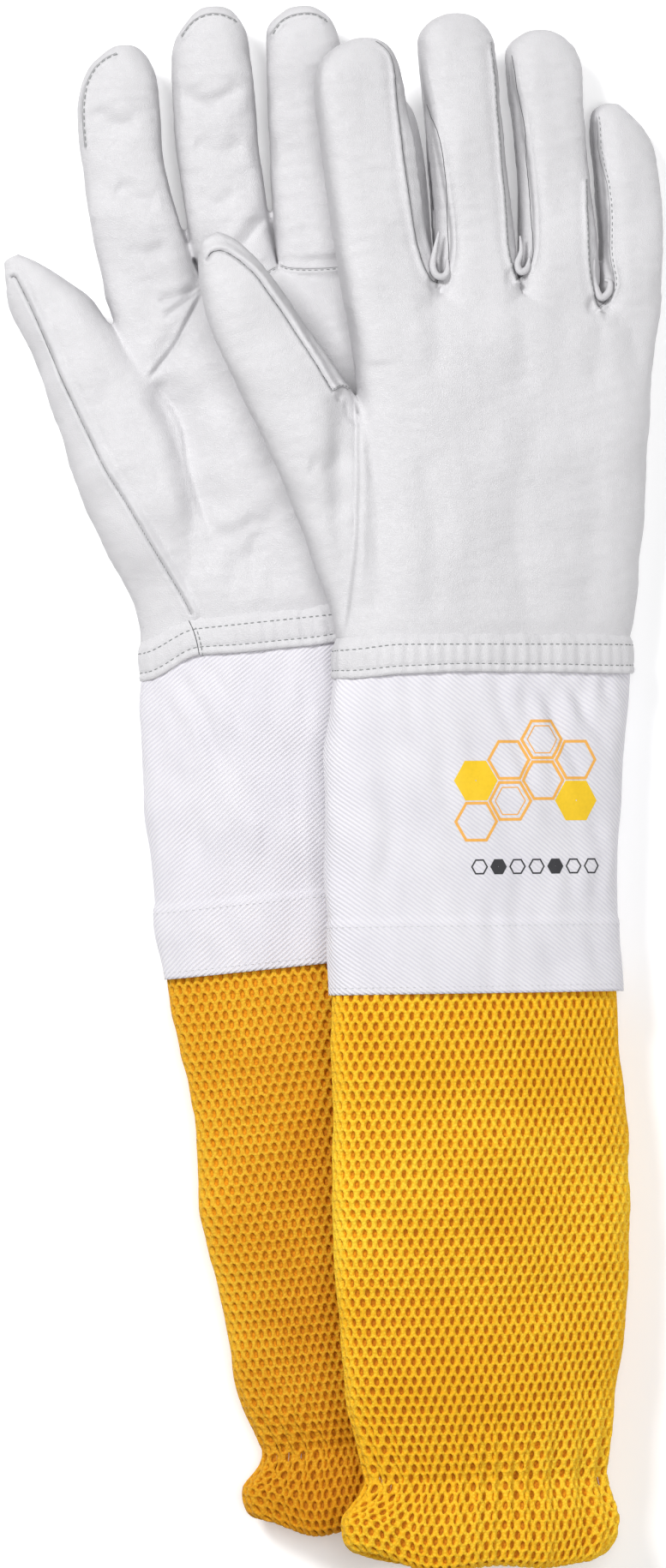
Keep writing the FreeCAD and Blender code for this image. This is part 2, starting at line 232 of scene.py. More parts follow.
# -------------------- the shape of each leather part, in mm
# Fingers: y, left edge, right edge, from inside the hand to the tip.
OUTLINES = {
    "right": {
        "index": ((98, -40.5, -14), (124, -45.5, -14.6), (140, -47.8, -17.6), (160, -50.4, -20.9),
            (180, -52.3, -22.8), (190, -52.2, -24), (196, -50, -25.4), (200.5, -45, -28), (203, -39, -32)),
        "middle": ((98, -15, 13), (124, -13.8, 12.8), (140, -14, 12), (160, -14.9, 10.2), (180, -16.5, 8.2),
            (199, -18.2, 7.6), (205, -17.4, 6.2), (209.5, -13, 2.5), (211.5, -8.5, -2)),
        "ring": ((98, 12.5, 41), (122, 13.6, 40.8), (140, 14.6, 39.4), (160, 14.6, 37.8), (180, 13.5, 36.2),
            (195, 11.8, 36), (201, 12, 34.2), (205, 16, 30.5), (207, 20, 26.5)),
        "little": ((84, 36, 54.5), (100, 39, 58.6), (116, 41.4, 61.6), (130, 42.1, 61.8),
            (145, 42.5, 62.2), (160, 41.4, 62), (169, 40.2, 60.8), (176, 40, 57), (181, 41, 52.5),
            (183.6, 44.5, 49.5)),
    },
    "left": {
        "index": ((88, -44, -16), (110, -46.6, -15.4), (124, -49, -18.4), (140, -50.8, -22.4),
            (160, -51.7, -25.2), (175, -51.6, -24.6), (185, -49.4, -24.4), (192, -46, -26),
            (196.5, -40.5, -29), (198, -37, -32)),
        "middle": ((92, -15.5, 9), (115, -16, 8.4), (124, -18.2, 7.6), (140, -19.6, 6.8), (160, -20.6, 6.2),
            (175, -20.4, 6.2), (188, -19.6, 6.4), (198, -17.4, 6), (205, -11.5, 2.8), (207.5, -7.5, -1)),
        "ring": ((92, 9, 38), (115, 8.4, 37.6), (124, 8.4, 37), (140, 8.4, 36), (160, 9.4, 35.8),
            (175, 10.6, 36), (190, 11.8, 36), (199, 13, 34), (203.5, 18, 29.5), (204.8, 21, 26.5)),
        "little": ((86, 37, 57), (110, 38.2, 58.4), (124, 38.2, 58.6), (140, 38, 58.8), (155, 38.2, 58.8),
            (165, 39.4, 57.8), (171, 42, 55), (175, 46, 51)),
    },
}
THICK = {"index": 9.8, "middle": 9.8, "ring": 9.6, "little": 8.8}
BASE_Y = {"index": 124.5, "middle": 124.5, "ring": 124.5, "little": 119.0}
FINGER_CURL = 3.0
# Thumbs and the thenar lobe: middle x and y, half width, half thickness, from the tip into the palm.
THUMBS = {
    "right": ((-88.5, 139, 3, 2.5), (-86.2, 134.8, 6.6, 5.6), (-82.4, 126.6, 10.2, 8.2),
        (-78, 117.2, 12.3, 9.2), (-72, 105.2, 14, 9.6), (-64, 92.6, 15.6, 9.8),
        (-55.6, 78.5, 16.6, 10.2), (-47.2, 61.2, 16.8, 10.6), (-40.4, 42.6, 16.8, 10.6),
        (-37, 24, 15, 9.4), (-36.6, 12, 14, 8.8), (-36.4, 4, 13.4, 8.4)),
    "left": ((-77.6, 133.2, 2.6, 2.4), (-75, 129, 5.6, 5), (-71.3, 122.6, 8.8, 7.8), (-66, 114, 12, 9.4),
        (-61.8, 104.4, 13.8, 10), (-56.8, 93, 15.6, 10.6), (-50.8, 80, 18, 11.4),
        (-45.4, 61.6, 18.8, 11.8), (-40.4, 42.4, 17.8, 11.2), (-36.2, 24, 15.4, 9.6),
        (-35.8, 12, 14.4, 9), (-35.6, 4, 13.8, 8.6)),
}
THUMB_LINE = {"right": ((-63.5, 82.0), 27.0), "left": ((-57.0, 82.0), 22.0)}
# How far, in mm, the thumb's tube is lowered from its root towards its tip.
THUMB_DROP = 3.0
HAND = ((-2.6, 0, 49.2, 10.8), (9, 0.4, 49.2, 11.4), (26, 5.4, 47.2, 12.4), (54, 7.3, 47.4, 12.8),
        (88, 8.8, 48.6, 12.4), (106, 8.4, 50, 11.6), (114, 8, 49, 10.2), (119, 7.6, 46, 7.5))
EDGES = {glove: {f: np.array(rows, float) for f, rows in parts.items()} for glove, parts in OUTLINES.items()}


def finger_tube(glove, name):
    rows = catmull(OUTLINES[glove][name], 6)
    top = rows[-1][0] + 0.8
    rings = []
    for y, left, right in rows:
        rise = np.clip((y - top + 13) / 13, 0, 1)
        thick = THICK[name] * (1 - 0.08 * smooth(y, 120, top)) * math.sqrt(max(1 - rise ** 2.3, 0.02))
        x, z = ring_points((right - left) / 2, thick, 3.2 - 0.9 * smooth(y, 158, top), 64)
        drop = FINGER_CURL * ((y - BASE_Y[name]) / (top - BASE_Y[name])) ** 2 if y > BASE_Y[name] else 0
        rings.append(np.column_stack([x + (left + right) / 2, np.full(64, y), z - drop]))
    return loft(rings)


def thumb_tube(glove):
    rows = catmull(THUMBS[glove], 5)
    angle = math.radians(THUMB_LINE[glove][1])
    across = np.array([math.cos(angle), math.sin(angle), 0])
    rings = []
    for x0, y0, wide, thick in rows[::-1]:
        x, z = ring_points(wide, thick, 2.2, 48)
        middle = np.array([x0, y0, -THUMB_DROP * smooth(y0, 6, 45)])
        rings.append(middle + x[:, None] * across + z[:, None] * np.array([0, 0, 1]))
    return loft(rings)


def hand_tube():
    rings = []
    for y, middle, wide, thick in catmull(HAND, 6):
        x, z = ring_points(wide, thick, 3.0, 120)
        rings.append(np.column_stack([x + middle, np.full(120, y), z]))
    return loft(rings)


# -------------------- seams and creases, in plan, in mm
# Part, face (1 the back, -1 the palm), the side that sits lower (1 right, -1 left, as the line runs), look
# and line. Look: line is a closed seam, dots a seam with its stitches showing, rim a rolled edge.
SEAMS = {
    "right": (
        ("index", 1, 1, "line", ((-34, 201.2), (-30.4, 198.6), (-28.6, 194), (-28, 181), (-27, 161),
            (-23.8, 141.5), (-20.6, 128.5), (-17.6, 124.2), (-14.6, 123.4))),
        ("middle", 1, -1, "line", ((-18, 197), (-17.2, 189), (-15.8, 180), (-13.3, 165), (-11.6, 148),
            (-11, 136), (-11.8, 128.4), (-14.6, 123.4))),
        ("middle", 1, 1, "dots", ((4.6, 202), (4.9, 188), (5.5, 175), (7, 155), (7.7, 140), (8.4, 132),
            (10.9, 124.6))),
        ("ring", 1, -1, "line", ((12.6, 198), (13.4, 189), (14.8, 180), (16.4, 160), (17.1, 146), (17, 134),
            (14.6, 126.8), (10.9, 124.6))),
        ("ring", 1, 1, "dots", ((35.4, 158), (35.1, 146), (35, 133), (36, 124), (38.8, 116.2))),
        ("little", 1, -1, "dots", ((41.2, 179), (41.2, 175), (41.4, 168), (43, 156), (43.6, 146),
            (43.4, 133), (44.4, 124), (42, 118.4), (38.8, 116.2))),
        ("hand", 1, -1, "dots", ((-50.6, 88.8), (-46.4, 90.4), (-42.6, 88), (-41.4, 82))),
    ),
    "left": (
        ("index", -1, -1, "rim", ((-36.4, 195), (-41, 193.2), (-45, 189.6), (-47.8, 184), (-49.3, 176),
            (-49.7, 166))),
        ("middle", -1, -1, "rim", ((3.4, 201.4), (-1, 203.8), (-6, 204.4), (-11, 202.6), (-15, 198.6))),
        ("ring", -1, -1, "rim", ((32.6, 198.4), (28.6, 201), (22.5, 201.5), (17.8, 199.9), (14.4, 196.2))),
        ("hand", -1, 1, "dots", ((9, 121.4), (12, 119.8), (20, 118.7), (30, 118.4), (39, 118))),
        ("hand", -1, 1, "dots", ((-14.4, 119.4), (-9, 118), (0, 117.6), (7.4, 120.6))),
    ),
}
# Face, depth, half width, step and line. Step: how far the right side of the line lies lower, or the left
# side where it is negative.
FOLDS = {
    "right": (
        (1, 0.7, 1.0, 1.5, ((-40.8, 92), (-41.6, 84), (-42.4, 66), (-44, 38), (-46, 21), (-48.5, 8))),
        (1, 0.5, 3.4, 0, ((-16.6, 121), (-16.9, 110), (-18, 92))),
        (1, 0.5, 3.4, 0, ((11, 121), (12, 108), (11, 88))),
        (1, 0.5, 3.2, 0, ((38.6, 113), (37.6, 102), (36, 90))),
        (1, 0.6, 4.6, 0, ((18, 84), (10, 62), (8, 44), (11, 22), (16, 8))),
        (1, 0.6, 4.0, 0, ((-22, 70), (-19, 44), (-21, 14))),
        (1, 0.6, 5.0, 0, ((34, 74), (35, 44), (33, 10))),
        (1, 1.3, 4.2, 0, ((-45, 88), (-48.5, 76), (-50, 62), (-48, 46))),
        (1, 0.8, 3.2, 0, ((-46, 70), (-52, 64), (-60, 65))),
        (1, 0.6, 2.4, 0, ((-52, 50), (-47, 34), (-48, 20))),
    ),
    "left": (
        (-1, 1.3, 0.7, -1.2, ((-15.4, 119.4), (-20, 111), (-27, 100), (-33, 93.5), (-38, 88.4))),
        (-1, 1.2, 2.6, 0, ((-17, 117), (-23, 107), (-30, 98), (-36, 91))),
        (-1, 1.6, 3.0, -1.8, ((-37.4, 88.4), (-31.8, 79.5), (-28.8, 71), (-28.4, 62), (-26.8, 51), (-24, 38))),
        (-1, 0.8, 4.0, 0, ((-33, 84), (-27, 74), (-25, 60), (-22, 44))),
        (-1, 0.7, 2.4, 0, ((-24, 42), (-19.5, 36.4), (-13, 37), (-6, 42))),
        (-1, 0.7, 3.2, 0, ((4, 48), (-4, 38), (-12, 28), (-20, 17))),
        (-1, 0.5, 1.6, 0, ((-8, 37), (-10, 26), (-12.5, 14))),
        (-1, 0.4, 2.0, 0, ((-23, 36), (-24.5, 27), (-24, 19))),
        (-1, 0.9, 5.0, 0, ((-4, 104), (2, 86), (3, 64), (-2, 50))),
        (-1, 1.6, 2.0, -0.9, ((6.6, 138.5), (2, 134.6), (-4, 128), (-10, 121.5))),
        (-1, 0.9, 1.3, 0, ((-15.4, 119.6), (-22, 116), (-32, 114))),
        (-1, 0.8, 1.2, 0, ((-16, 118), (-24, 112.4), (-31, 108))),
        (-1, 1.0, 3.2, 0, ((-42, 152), (-35, 147), (-28, 145))),
        (-1, 0.9, 2.6, 0, ((-46, 178), (-39, 172), (-32, 172))),
        (-1, 0.7, 2.6, 0, ((-40, 132), (-33, 129), (-26, 133))),
        (-1, 1.1, 2.4, 0, ((-17, 181), (-10, 175), (-3, 177), (3, 182))),
        (-1, 1.1, 2.8, 0, ((-15, 164), (-6, 159), (2, 163))),
        (-1, 0.8, 2.0, 0, ((-16, 147), (-9, 143), (-2, 146))),
    ),
}
# The side strips of the upper glove's fingers curl where they meet: x, y and radius along each small roll.
ROLLS = (
    ((-14.9, 140, 0.3), (-16.4, 134, 0.8), (-17.3, 129, 1.1), (-16.3, 126, 1.2), (-14, 125.4, 1.2),
        (-12.5, 127.2, 1.0), (-12.3, 131, 0.4)),
    ((12.4, 139, 0.3), (12.6, 134, 0.8), (11.2, 129.8, 1.1), (12.2, 127.4, 1.2), (14.4, 128.4, 1.1),
        (15.4, 132, 0.4)),
    ((37.6, 132, 0.3), (37.2, 125.4, 0.9), (39.2, 119.6, 1.2), (42, 121.2, 1.2), (42.6, 124.4, 1.0),
        (40.8, 125.4, 0.5)),
)
ROLL_Z = 7.6
# The crevice where two fingers touch, above their crotch, carved in and darkened with painted shade.
GROOVES = {
    "right": (((-14.4, 124.4), (-15, 131), (-15.6, 140)), ((12.2, 125.4), (13.2, 132), (13.2, 144)),
              ((40.2, 117.6), (41.2, 128), (40.9, 142))),
    "left": (((-15.6, 118), (-17, 122), (-18.4, 126)), ((8.2, 121), (7.9, 127), (7.6, 136), (7.5, 145)),
             ((38, 112), (37.6, 120), (37.1, 134), (37, 146))),
}
# The sewn edge of each thumb: its face, and the line from the tip, along it, into the hand.
THUMB_SEAM = {
    "right": (1, ((-90.8, 130.6), (-89, 133), (-85.6, 133.4), (-81, 130.6), (-75.8, 125.8), (-71.1, 119.2),
                  (-66, 112.6), (-61.2, 105), (-56.2, 97.2), (-50.6, 88.8))),
    "left": (-1, ((-78, 126.5), (-76.6, 126.4), (-74.6, 121.5), (-71.3, 111.8), (-67.1, 98), (-60.5, 78.4),
                  (-54, 61), (-47, 46.4), (-40, 31.2), (-33.4, 17), (-31.5, 12))),
}
VOXEL = 0.95
SHARP = 1.4  # a fold narrower than this has painted shade in its bottom, and needs finer faces


def remesh(points, faces):
    """One closed skin round overlapping closed tubes."""
    source = make("rough", points, faces)
    changer = source.modifiers.new("skin", "REMESH")
    changer.mode = "VOXEL"
    changer.voxel_size = VOXEL
    smoother = source.modifiers.new("settle", "SMOOTH")
    smoother.factor = 0.5
    smoother.iterations = 7
    shape = source.evaluated_get(bpy.context.evaluated_depsgraph_get()).to_mesh()
    bm = bmesh.new()
    bm.from_mesh(shape)
    bpy.data.objects.remove(source)
    return bm


def refine(bm, lines):
    """Splits the faces next to the seams, so that they take a crisp edge."""
    bm.verts.index_update()
    co = np.array([v.co for v in bm.verts])
    near = np.zeros(len(co), bool)
    for face, reach, line in lines:
        side, _ = to_line(co[:, :2], line)
        near |= (np.abs(side) < reach) & (co[:, 2] * face > -3.0)
    edges = [e for e in bm.edges if near[e.verts[0].index] and near[e.verts[1].index]]
    bmesh.ops.subdivide_edges(bm, edges=edges, cuts=1, use_grid_fill=True)
    bmesh.ops.triangulate(bm, faces=[f for f in bm.faces if len(f.verts) > 4])
    bm.verts.index_update()


def line_fields(glove):
    """Every seam, fold and crevice of a glove, ready to be measured against: kind, face, numbers, line."""
    for _, face, low, _, line in SEAMS[glove]:
        yield "seam", face, (low,), catmull(line, 5)
    face, line = THUMB_SEAM[glove]
    yield "welt", face, (), catmull(line, 5)
    for face, depth, width, step, line in FOLDS[glove]:
        yield "fold", face, (depth, width, step), catmull(line, 4)
    for line in GROOVES[glove]:
        yield "groove", 0, (), catmull(line, 4)


def crease(glove, co):
    """How far the seams and folds move each point up or down, and the painted shadow and shade that they put on
    it.
    """
    rise, dark = np.zeros(len(co)), np.zeros(len(co))
    for kind, face, numbers, line in line_fields(glove):
        side, along = to_line(co[:, :2], line)
        gap = np.abs(side)
        if kind == "seam":
            side = side * -numbers[0]
            on = (co[:, 2] * face > -1.0) * smooth(along, 0, 0.04) * (gap < 8)
            step = smooth(side, -0.1, 0.7) * (1 - smooth(side, 3.0, 5.5))
            rise += face * on * (0.4 * bell(side, -0.8, 0.6) - 0.2 * bell(side, -2.6, 1.1) - step)
            # painted shadow in the seam's gap
            dark += 0.5 * on * bell(side, 0.35, 0.35)
        elif kind == "welt":
            on = (co[:, 2] * face > -3.0) * (gap < 8)
            rise += face * on * (0.3 * bell(side, 1.2, 0.8) + 0.75 * bell(side, -1.5, 0.95)
                                 - 0.35 * bell(side, -3.6, 0.9) - 0.9 * bell(side, 0, 0.45))
            # painted shadow in the thumb seam's gap
            dark += 0.6 * on * bell(side, 0, 0.3)
        elif kind == "fold":
            depth, width, step = numbers
            on = smooth(co[:, 2] * face, -6.5, -3) * smooth(along, 0, 0.14) * (1 - smooth(along, 0.86, 1))
            lower = side * math.copysign(1, step)
            rim = 0.3 * (1 - smooth(lower, -1.5, 1.5)) if step else 0.3
            rise += face * on * depth * (rim * bell(gap, 2.3 * width, width) - bell(gap, 0, width))
            if step:
                rise -= face * on * abs(step) * smooth(lower, -0.3, 1.1) * (1 - smooth(lower, 3, 13))
            # painted shade in the bottom of a narrow fold
            if width < SHARP:
                dark += 0.35 * on * bell(gap, 0, 0.45)
        else:
            on = smooth(np.abs(co[:, 2]), 1.5, 4.5) * smooth(along, 0, 0.1)
            rise -= np.sign(co[:, 2]) * on * 4.6 * bell(gap, 0, 0.6)
            # painted shade down the crevice
            dark += 0.6 * on * bell(gap, 0, 0.55)
    return rise, np.clip(dark, 0, 1)


def skin(glove):
    """The leather as one mesh in the glove's frame, and its painted shadow and shade: seams, creases, crevices,
    steep sides and fingertips.
    """
    points, faces = [], []
    for part in [hand_tube(), thumb_tube(glove)] + [finger_tube(glove, f) for f in FINGERS]:
        add_part(points, faces, part)
    bm = remesh(points, faces)
    refine(bm, [(face, 2.0, line) for kind, face, numbers, line in line_fields(glove)
                if kind != "fold" or numbers[1] < SHARP])
    bm.normal_update()
    co = np.array([v.co for v in bm.verts])
    normal = np.array([v.normal for v in bm.verts])
    # soft, stuffed leather: slow hills, then short wrinkles across the fingers
    lift = 0.6 * ripple(co, 5, 34) + 0.2 * ripple(co, 6, 14) + 0.06 * ripple(co, 7, 6, stretch=(1, 1.6, 1))
    lift += 0.10 * ripple(co, 8, 7, stretch=(0.5, 2.2, 0.5)) * smooth(co[:, 1], 100, 140)
    lift += 0.022 * ripple(co, 9, 3.0)
    lift += (0.3 if glove == "left" else 0.0) * ripple(co, 11, 17)
    facing = np.abs(normal[:, 2])
    lift *= 1 - 0.7 * smooth(co[:, 1], 116, 130) * (1 - smooth(facing, 0.1, 0.6))
    lift = lift * (0.2 + 0.8 * smooth(co[:, 1], 6, 24)) - 0.5 * (1 - smooth(co[:, 1], 8, 15))
    rise, dark = crease(glove, co)
    co = co + normal * lift[:, None]
    co[:, 2] += rise
    # painted shade: the steep sides of the leather, and the fingers towards their tips, are darkened
    dark += 0.28 * smooth(1 - facing, 0.2, 0.95) + 0.06 * smooth(co[:, 1], 130, 205)
    dark = np.clip(dark, 0, 1)
    layer = bm.verts.layers.float.new("seam")
    for v, p, shade in zip(bm.verts, co, dark):
        v.co = p
        v[layer] = float(shade)
    bmesh.ops.delete(bm, geom=[f for f in bm.faces if f.calc_center_median().y < -1.2], context="FACES")
    bm.verts.ensure_lookup_table()
    bm.verts.index_update()
    bm.normal_update()
    return bm, np.array([v[layer] for v in bm.verts])


def digit_of(glove, centre):
    """Which body a face of the skin rides on."""
    x, y, _ = centre
    (bx, by), angle = THUMB_LINE[glove]
    angle = math.radians(angle)
    beyond = -(x - bx) * math.sin(angle) + (y - by) * math.cos(angle)
    edge = -42.5 - 0.3 * (y - 92) if glove == "right" else -38 - 0.6 * (y - 89)
    if beyond > 0 and x < edge:
        return "thumb"
    if y < BASE_Y["little"] - 0.5:
        return "hand"
    for left, right in zip(FINGERS, FINGERS[1:]):
        a, b = EDGES[glove][left], EDGES[glove][right]
        border = (np.interp(y, a[:, 0], a[:, 2]) + np.interp(y, b[:, 0], b[:, 1])) / 2
        if x < border:
            return left if y > BASE_Y[left] - 0.5 else "hand"
    return "little"


def attach(thing, glove, part):
    """Makes a piece ride its hand or its sleeve, or else bakes its placement into its points."""
    if part == "hand":
        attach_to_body(thing, f"{glove}_hand")
    elif part == "whole_sleeve":
        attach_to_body(thing, f"{glove}_sleeve")
    else:
        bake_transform(thing)


# -------------------- materials
class Nodes:
    """A short way to wire a material."""

    def __init__(self, name):
        self.material = bpy.data.materials.new(name)
        self.material.use_nodes = True
        self.tree = self.material.node_tree
        self.shader = self.tree.nodes["Principled BSDF"]

    def add(self, kind, inputs=None, **settings):
        node = self.tree.nodes.new("ShaderNode" + kind)
        for key, value in settings.items():
            setattr(node, key, value)
        for key, value in (inputs or {}).items():
            self.put(node.inputs[key], value)
        return node

    def put(self, socket, value):
        if isinstance(value, bpy.types.NodeSocket):
            self.tree.links.new(value, socket)
        else:
            socket.default_value = value

    def put_colour(self, socket, value):
        self.put(socket, value if isinstance(value, bpy.types.NodeSocket) else (*value, 1))

    def math(self, operation, *values):
        node = self.add("Math", operation=operation)
        for socket, value in zip(node.inputs, values):
            self.put(socket, value)
        return node.outputs[0]

    def times(self, a, b):
        return self.math("MULTIPLY", a, b)

    def ramp(self, value, stops):
        node = self.add("ValToRGB", {"Fac": value})
        elements = node.color_ramp.elements
        while len(elements) < len(stops):
            elements.new(0.5)
        for element, (place, colour) in zip(elements, stops):
            element.position, element.color = place, (*colour, 1)
        return node.outputs[0]

    def mix(self, factor, a, b):
        node = self.add("Mix", data_type="RGBA")
        self.put(node.inputs[0], factor)
        self.put_colour(node.inputs[6], a)
        self.put_colour(node.inputs[7], b)
        return node.outputs[2]

    def noise(self, where, scale, detail=2.0, rough=0.5):
        inputs = {"Vector": where, "Scale": scale, "Detail": detail, "Roughness": rough}
        return self.add("TexNoise", inputs).outputs[0]

    def bump(self, height, distance, strength=1.0, under=None):
        node = self.add("Bump", {"Height": height, "Distance": distance, "Strength": strength})
        if under:
            self.put(node.inputs["Normal"], under)
        return node.outputs[0]

    def finish(self, colour, rough, normal=None, **fixed):
        self.put_colour(self.shader.inputs["Base Color"], colour)
        self.put(self.shader.inputs["Roughness"], rough)
        if normal is not None:
            self.put(self.shader.inputs["Normal"], normal)
        for key, value in fixed.items():
            self.shader.inputs[key.replace("_", " ")].default_value = value
        return self.material


def leather(name, tint):
    """Pale goatskin: pebbled grain, faint clouds of tone, and the painted shadow and shade of the seam
    attribute.
    """
    n = Nodes(name)
    where = n.add("TexCoord").outputs["Object"]
    noise = n.add("TexNoise", {"Vector": where, "Scale": 300.0, "Detail": 1.0})
    warp = n.mix(0.0008, where, noise.outputs["Color"])
    cells = n.add("TexVoronoi", {"Vector": warp, "Scale": 1750.0, "Randomness": 1.0},
                  feature="DISTANCE_TO_EDGE").outputs["Distance"]
    pebbles = n.ramp(cells, ((0.0, (0, 0, 0)), (0.30, (1, 1, 1))))
    clouds = n.noise(where, 26.0, 3.0)
    mottle = n.noise(where, 620.0, 3.0, 0.6)
    long = n.add("Mapping", {"Vector": where, "Scale": (1.0, 0.45, 1.0)}).outputs[0]
    wrinkle = n.noise(long, 300.0, 3.0, 0.6)
    seam = n.add("Attribute", attribute_name="seam").outputs["Fac"]
    base = n.ramp(clouds, ((0.32, tuple(c * 0.945 for c in tint)), (0.68, tint)))
    spots = n.ramp(mottle, ((0.38, (0.05, 0.05, 0.05)), (0.62, (0, 0, 0))))
    base = n.mix(spots, base, (0.50, 0.49, 0.51))
    base = n.mix(n.times(n.math("SUBTRACT", 1.0, pebbles), 0.09), base, (0.40, 0.39, 0.41))
    # painted shadow and shade: the seam attribute darkens the seams, creases, crevices, steep sides and
    # fingertips
    base = n.mix(n.times(seam, 0.75), base, (0.16, 0.155, 0.165))
    rough = n.math("ADD", 0.36, n.times(mottle, 0.2))
    tone = n.bump(n.noise(where, 85.0), 0.0008, 0.5)
    tone = n.bump(wrinkle, 0.00038, 0.34, tone)
    normal = n.bump(pebbles, 0.00012, 0.7, n.bump(mottle, 0.0001, 0.4, tone))
    return n.finish(base, rough, normal, Sheen_Weight=0.02, Specular_IOR_Level=0.42)


def twill():
    """White cotton twill: fine diagonal ribs with a shadow between them."""
    n = Nodes("twill")
    flat = n.add("UVMap", uv_map="cloth").outputs[0]
    split = n.add("SeparateXYZ", {"Vector": flat})
    x, y = split.outputs[0], split.outputs[1]
    wobble = n.times(n.noise(flat, 0.18), 1.6)
    slope = n.math("ADD", n.times(x, 0.58), n.times(y, 0.81))
    rib = n.math("SINE", n.math("ADD", n.times(slope, 2 * math.pi / 1.22), wobble))
    across = n.math("SUBTRACT", n.times(x, 0.9), n.times(y, 0.43))
    weft = n.math("SINE", n.times(across, 2 * math.pi / 0.55))
    height = n.math("ADD", n.times(rib, 0.5), n.times(weft, 0.16))
    groove = n.times(n.math("SUBTRACT", 1.0, rib), 0.5)
    clouds = n.noise(flat, 0.05, 3.0)
    base = n.ramp(clouds, ((0.3, (0.76, 0.745, 0.785)), (0.7, (0.82, 0.805, 0.835))))
    base = n.mix(n.times(n.math("POWER", groove, 2.0), 0.42), base, (0.50, 0.48, 0.58))
    normal = n.bump(height, 0.00025, 0.7, n.bump(n.noise(flat, 2.2), 0.0002, 0.4))
    return n.finish(base, 0.86, normal, Sheen_Weight=0.25, Sheen_Roughness=0.5, Specular_IOR_Level=0.2)


def knit(name, dark, light, scale=1300.0):
    """Polyester yarn: tiny loops, fibres and slow changes of tone."""
    n = Nodes(name)
    where = n.add("TexCoord").outputs["Object"]
    loops = n.add("TexVoronoi", {"Vector": where, "Scale": scale}, feature="F1").outputs["Distance"]
    fine = n.noise(where, 2400.0)
    clouds = n.noise(where, 14.0, 3.0)
    tone = n.math("ADD", n.times(clouds, 0.9), n.times(loops, 0.45))
    base = n.ramp(tone, ((0.42, light), (0.86, dark)))
    normal = n.bump(loops, 0.0003, 0.8, n.bump(fine, 0.0001, 0.5))
    return n.finish(base, 0.72, normal, Sheen_Weight=0.02, Sheen_Roughness=0.4, Specular_IOR_Level=0.15)


def plain(name, colour, rough=0.8):
    """Thread, ink or braid: one colour with a fine, darker grain."""
    n = Nodes(name)
    fine = n.noise(n.add("TexCoord").outputs["Object"], 900.0)
    base = n.mix(n.times(fine, 0.35), colour, tuple(c * 0.6 for c in colour))
    return n.finish(base, rough, n.bump(fine, 0.0001, 0.5), Specular_IOR_Level=0.3)


MATERIALS = {
    "leather": leather("goatskin", (0.698, 0.690, 0.708)),
    "twill": twill(),
    "net_right": knit("spacer_net", (0.83, 0.44, 0.012), (0.97, 0.70, 0.052)),
    # painted shade: the lower glove's net is a darker copy of the upper glove's yarn
    "net_left": knit("spacer_net_painted_shade", (0.68, 0.29, 0.008), (0.84, 0.50, 0.032)),
    "backing": knit("spacer_backing", (0.44, 0.155, 0.004), (0.80, 0.34, 0.008), 1100.0),
    "thread": plain("grey_thread", (0.30, 0.31, 0.31)),
    "pale_thread": plain("pale_thread", (0.66, 0.66, 0.68)),
    # painted shadow: a thin dark tube laid in the gap of each seam
    "seam_line": plain("seam_shadow", (0.10, 0.10, 0.105)),
    "print_light": plain("print_amber", (0.90, 0.45, 0.09), 0.6),
    "print_full": plain("print_yellow", (0.93, 0.60, 0.02), 0.55),
    "print_dark": plain("print_charcoal", (0.045, 0.045, 0.05), 0.7),
    "elastic": plain("elastic_braid", (0.72, 0.72, 0.70)),
}


def settle(piece, glove, material, part):
    """Gives a piece its material, and hangs it on its hand or sleeve or bakes its placement, as attach does."""
    piece.data.materials.append(MATERIALS[material])
    attach(piece, glove, part)
    return piece


# -------------------- the leather pieces
SKIN_TREE = {}
HAND_NODES = ("hand_back", "hand_palm", "thumb_gusset", "web_index_middle", "web_middle_ring",
              "web_ring_little")


def build_skin(glove):
    bm, dark = skin(glove)
    co = np.array([v.co for v in bm.verts])
    normals = np.array([v.normal for v in bm.verts])
    SKIN_TREE[glove] = BVHTree.FromBMesh(bm)
    groups = {}
    for f in bm.faces:
        groups.setdefault(digit_of(glove, f.calc_center_median()), []).append([v.index for v in f.verts])
    bm.free()
    turn = np.linalg.inv(np.array(LAY[glove])[:3, :3] / MM)
    for part, faces in groups.items():
        used = sorted({i for f in faces for i in f})
        renumber = {old: new for new, old in enumerate(used)}
        faces = [[renumber[i] for i in f] for f in faces]
        piece = make(f"{glove}_{part}_leather", co[used], faces, glove)
        paint(piece, "seam", dark[used])
        world = unit(normals[used] @ turn)
        piece.data.normals_split_custom_set_from_vertices([tuple(v) for v in world])
        settle(piece, glove, "leather", part)
        if part == "hand":
            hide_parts(*[f"{glove}_{n}" for n in HAND_NODES])
        elif part == "thumb":
            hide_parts(f"{glove}_thumb_back", f"{glove}_thumb_front")
        else:
            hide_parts(*[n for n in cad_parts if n.startswith(f"{glove}_{part}_")])


def cast(tree, x, y, face):
    """Where a surface is met from the back (face 1) or the palm (-1), and its normal there."""
    return tree.ray_cast(Vector((x, y, 60.0 * face)), Vector((0, 0, -face)))[:2]


def on_skin(glove, xy, face):
    """Points of the leather under a line in plan, and its normals.

    Only the longest unbroken stretch is kept, so that no thread hangs over an edge."""
    runs = [[]]
    for x, y in xy:
        hit, normal = cast(SKIN_TREE[glove], x, y, face)
        good = hit is not None and hit.z * face > 0.4 and normal.z * face > 0.08
        if runs[-1] and (not good or abs(hit.z - runs[-1][-1][0].z) > 1.6):
            runs.append([])
        if good:
            runs[-1].append((hit, normal))
    best = max(runs, key=len)
    return np.array([hit for hit, _ in best]), np.array([normal for _, normal in best])


